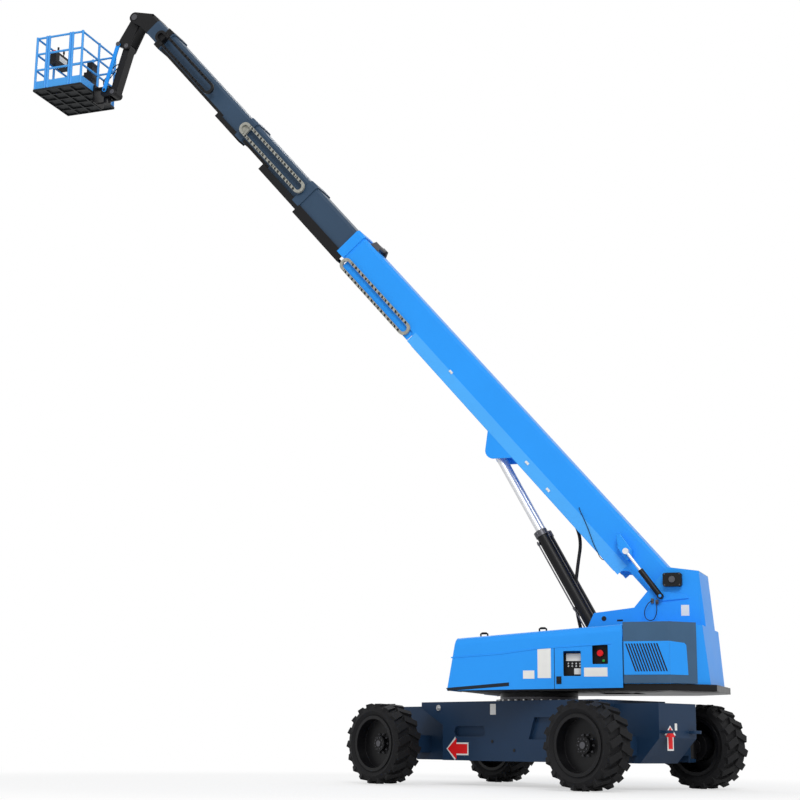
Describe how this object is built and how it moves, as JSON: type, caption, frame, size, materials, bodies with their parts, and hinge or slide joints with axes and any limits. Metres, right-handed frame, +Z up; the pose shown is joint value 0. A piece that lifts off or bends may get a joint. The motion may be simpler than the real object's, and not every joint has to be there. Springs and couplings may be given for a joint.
{
  "type": "telescopic boom lift",
  "caption": "Self-propelled telescopic boom lift with steered wheels, slewing turret, nested boom sections, levelled jib and a turning work platform.",
  "frame": {"origin": "on the ground, in the middle of the machine's length and width at rest, with the turret slewed 27 degrees to the left of the chassis", "axes": "+X along the boom to its tip, +Y to the turret's left, +Z up; the chassis points 27 degrees to the right of +X"},
  "size_m": [11.7822, 4.9241, 13.0351],
  "materials": {
    "black_paint": "satin paint",
    "black_plastic": "moulded",
    "blue_paint": "gloss paint",
    "bright_rod": "polished",
    "cast": "as cast",
    "chain_steel": "zinc plated",
    "dark_steel": "satin paint",
    "grille_paint": "satin paint",
    "section_paint": "satin paint",
    "slate_paint": "satin paint",
    "tyre": "moulded rubber"
  },
  "bodies": {
    "chassis": {"chassis_frame": "slate_paint", "slew_ring": "dark_steel", "front_axle": "slate_paint", "rear_axle": "slate_paint"},
    "knuckle_front_left": {"knuckle_front_left": "black_paint"},
    "wheel_front_left": {"rim_front_left": "black_paint", "tyre_front_left": "tyre"},
    "knuckle_front_right": {"knuckle_front_right": "black_paint"},
    "wheel_front_right": {"rim_front_right": "black_paint", "tyre_front_right": "tyre"},
    "knuckle_rear_left": {"knuckle_rear_left": "black_paint"},
    "wheel_rear_left": {"rim_rear_left": "black_paint", "tyre_rear_left": "tyre"},
    "knuckle_rear_right": {"knuckle_rear_right": "black_paint"},
    "wheel_rear_right": {"rim_rear_right": "black_paint", "tyre_rear_right": "tyre"},
    "turret": {"turret_deck": "black_paint", "tower": "blue_paint", "angle_sensor": "black_plastic", "counterweight": "blue_paint", "grille_left": "grille_paint", "grille_right": "grille_paint", "engine_block": "cast", "fluid_tanks": "black_plastic", "ground_controls": "black_plastic"},
    "hood_left": {"hood_left": "blue_paint"},
    "hood_right": {"hood_right": "blue_paint"},
    "boom": {"boom_base": "blue_paint", "carrier_base": "chain_steel"},
    "section_2": {"boom_section_2": "section_paint"},
    "section_3": {"boom_section_3": "section_paint", "carrier_middle": "chain_steel"},
    "section_4": {"boom_section_4": "section_paint", "carrier_upper": "chain_steel"},
    "fly": {"boom_fly": "section_paint"},
    "lift_barrel": {"lift_barrels": "black_paint"},
    "lift_rod": {"lift_rods": "bright_rod"},
    "level_barrel": {"level_barrel": "black_paint"},
    "level_rod": {"level_rod": "bright_rod"},
    "level_bracket": {"level_bracket": "black_paint"},
    "jib": {"jib_arm": "black_paint"},
    "jib_link": {"jib_links": "blue_paint"},
    "support": {"platform_support": "black_paint"},
    "platform": {"platform_bracket": "black_paint", "platform_floor": "dark_steel", "platform_rail_back": "blue_paint", "platform_rail_front": "blue_paint", "platform_rail_right": "blue_paint", "platform_rail_left": "blue_paint", "platform_console": "black_plastic"},
    "gate": {"platform_gate": "blue_paint"}
  },
  "joints": [
    {"name": "steer_front_left", "type": "hinge", "parent": "chassis", "child": "knuckle_front_left", "pos_m": [-0.82526, -0.08338, 0.5775], "axis": [0, 0, 1], "range_deg": [-30, 30]},
    {"name": "wheel_spin_front_left", "type": "hinge", "parent": "knuckle_front_left", "child": "wheel_front_left", "pos_m": [-0.66636, 0.22848, 0.5775], "axis": [0.454, 0.891, 0], "continuous": true},
    {"name": "steer_front_right", "type": "hinge", "parent": "chassis", "child": "knuckle_front_right", "pos_m": [-1.64244, -1.68719, 0.5775], "axis": [0, 0, 1], "range_deg": [-30, 30]},
    {"name": "wheel_spin_front_right", "type": "hinge", "parent": "knuckle_front_right", "child": "wheel_front_right", "pos_m": [-1.80134, -1.99904, 0.5775], "axis": [0.454, 0.891, 0], "continuous": true},
    {"name": "steer_rear_left", "type": "hinge", "parent": "chassis", "child": "knuckle_rear_left", "pos_m": [-4.30018, 1.68719, 0.5775], "axis": [0, 0, 1], "range_deg": [-30, 30]},
    {"name": "wheel_spin_rear_left", "type": "hinge", "parent": "knuckle_rear_left", "child": "wheel_rear_left", "pos_m": [-4.14129, 1.99904, 0.5775], "axis": [0.454, 0.891, 0], "continuous": true},
    {"name": "steer_rear_right", "type": "hinge", "parent": "chassis", "child": "knuckle_rear_right", "pos_m": [-5.11737, 0.08338, 0.5775], "axis": [0, 0, 1], "range_deg": [-30, 30]},
    {"name": "wheel_spin_rear_right", "type": "hinge", "parent": "knuckle_rear_right", "child": "wheel_rear_right", "pos_m": [-5.27626, -0.22848, 0.5775], "axis": [0.454, 0.891, 0], "continuous": true},
    {"name": "slew", "type": "hinge", "parent": "chassis", "child": "turret", "pos_m": [-2.97131, 0, 1.3], "axis": [0, 0, 1], "continuous": true},
    {"name": "hood_left_open", "type": "hinge", "parent": "turret", "child": "hood_left", "pos_m": [-3.97131, 0.52, 2.06], "axis": [1, 0, 0], "range_deg": [0, 60]},
    {"name": "hood_right_open", "type": "hinge", "parent": "turret", "child": "hood_right", "pos_m": [-3.97131, -0.52, 2.06], "axis": [-1, 0, 0], "range_deg": [0, 60]},
    {"name": "boom_lift", "type": "hinge", "parent": "turret", "child": "boom", "pos_m": [-5.07131, 0, 2.77], "axis": [0, -1, 0], "range_deg": [-49, 26]},
    {"name": "extend_section_2", "type": "slide", "parent": "boom", "child": "section_2", "axis": [0.6561, 0, 0.7547], "range_m": [-1.06, 4.7]},
    {"name": "extend_section_3", "type": "slide", "parent": "section_2", "child": "section_3", "axis": [0.6561, 0, 0.7547], "range_m": [-1.47, 4.1]},
    {"name": "extend_section_4", "type": "slide", "parent": "section_3", "child": "section_4", "axis": [0.6561, 0, 0.7547], "range_m": [-2.3, 3.1]},
    {"name": "extend_fly", "type": "slide", "parent": "section_4", "child": "fly", "axis": [0.6561, 0, 0.7547], "range_m": [-0.23, 4.9]},
    {"name": "lift_barrel_swing", "type": "hinge", "parent": "turret", "child": "lift_barrel", "pos_m": [-4.27131, 0, 1.4], "axis": [0, -1, 0], "range_deg": [-41.6, 22.07]},
    {"name": "lift_rod_slide", "type": "slide", "parent": "lift_barrel", "child": "lift_rod", "axis": [0.4806, 0, 0.8769], "range_m": [-1.2054, 0.6396]},
    {"name": "level_barrel_swing", "type": "hinge", "parent": "turret", "child": "level_barrel", "pos_m": [-4.84731, 0.452, 2.618], "axis": [0, -1, 0], "range_deg": [-53.16, 28.21]},
    {"name": "level_rod_slide", "type": "slide", "parent": "level_barrel", "child": "level_rod", "axis": [0.5934, 0, 0.8049], "range_m": [-0.2009, 0.1066]},
    {"name": "head_level", "type": "hinge", "parent": "fly", "child": "level_bracket", "pos_m": [4.14819, 0, 12.94141], "axis": [0, -1, 0], "range_deg": [-26, 49]},
    {"name": "jib_lift", "type": "hinge", "parent": "level_bracket", "child": "jib", "pos_m": [4.33819, 0, 12.47341], "axis": [0, -1, 0], "range_deg": [-15, 115]},
    {"name": "jib_link_swing", "type": "hinge", "parent": "level_bracket", "child": "jib_link", "pos_m": [4.48238, 0, 12.51476], "axis": [0, -1, 0], "range_deg": [-15, 115]},
    {"name": "support_level", "type": "hinge", "parent": "jib", "child": "support", "pos_m": [4.57524, 0, 11.64673], "axis": [0, -1, 0], "range_deg": [-115, 15]},
    {"name": "platform_rotate", "type": "hinge", "parent": "support", "child": "platform", "pos_m": [4.73524, 0, 11.64673], "axis": [0, 0, 1], "range_deg": [-55, 55]},
    {"name": "gate_swing", "type": "hinge", "parent": "platform", "child": "gate", "pos_m": [5.20424, 0.548, 12.24673], "axis": [0, 0, -1], "range_deg": [0, 85]}
  ],
  "couplings": [
    {"joint": "steer_front_right", "follows": "steer_front_left", "ratio": 1},
    {"joint": "steer_rear_right", "follows": "steer_rear_left", "ratio": 1},
    {"joint": "lift_barrel_swing", "follows": "boom_lift", "ratio": 0.849},
    {"joint": "lift_rod_slide", "follows": "boom_lift", "m_per_rad": 1.4095},
    {"joint": "level_barrel_swing", "follows": "boom_lift", "ratio": 1.085},
    {"joint": "level_rod_slide", "follows": "boom_lift", "m_per_rad": 0.23491},
    {"joint": "head_level", "follows": "boom_lift", "ratio": -1},
    {"joint": "jib_link_swing", "follows": "jib_lift", "ratio": 1},
    {"joint": "support_level", "follows": "jib_lift", "ratio": -1}
  ]
}
